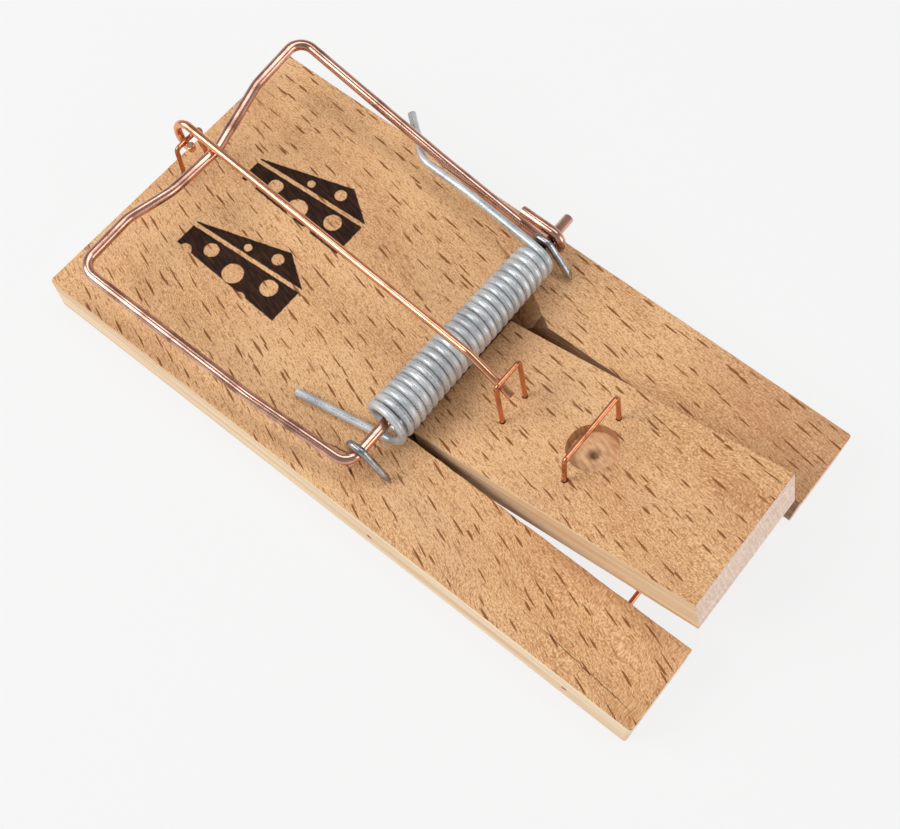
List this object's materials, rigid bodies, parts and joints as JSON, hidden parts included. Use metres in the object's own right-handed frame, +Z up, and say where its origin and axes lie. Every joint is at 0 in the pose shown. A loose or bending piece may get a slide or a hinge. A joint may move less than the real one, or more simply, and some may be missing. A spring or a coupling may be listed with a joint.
{
  "type": "snap mouse trap",
  "caption": "Set snap mouse trap: wooden board, sprung wire bow held down by a rod, and a tilting wooden bait pedal.",
  "frame": {"origin": "centre of the board's outline, on its underside", "axes": "+X along the board from the bow's resting end to the pedal's free end, +Y across it, +Z up out of the board"},
  "size_m": [0.098, 0.0507, 0.0176],
  "materials": {
    "board_wood": "planed, unfinished beech with brown ray flecks",
    "pedal_wood": "planed, unfinished beech with brown ray flecks",
    "bow_wire": "copper-washed drawn wire, slightly tarnished",
    "rod_wire": "copper-washed drawn wire",
    "staple_wire": "copper-washed thin wire",
    "spring_wire": "dull zinc-plated spring wire",
    "nail_steel": "bright nail steel"
  },
  "bodies": {
    "base": {"board": "board_wood", "anchor_staple": "staple_wire", "axle_nail_left": "nail_steel", "axle_nail_right": "nail_steel", "hinge_pin": "staple_wire", "stop_wire": "staple_wire", "torsion_spring": "spring_wire"},
    "striker": {"striker_bow": "bow_wire"},
    "rod": {"hold_rod": "rod_wire"},
    "treadle": {"pedal_board": "pedal_wood", "catch_staple": "staple_wire", "bait_staple": "staple_wire"}
  },
  "joints": [
    {"name": "striker_hinge", "type": "hinge", "parent": "base", "child": "striker", "pos_m": [0.00175, 0, 0.01028], "axis": [0, 1, 0], "range_deg": [0, 163], "deforming": ["torsion_spring"]},
    {"name": "rod_hinge", "type": "hinge", "parent": "base", "child": "rod", "pos_m": [-0.04585, 0.0015, 0.01346], "axis": [0, -1, 0], "range_deg": [0, 188]},
    {"name": "pedal_hinge", "type": "hinge", "parent": "base", "child": "treadle", "pos_m": [0.0081, 0, 0.00285], "axis": [0, 1, 0], "range_deg": [0, 9]}
  ]
}
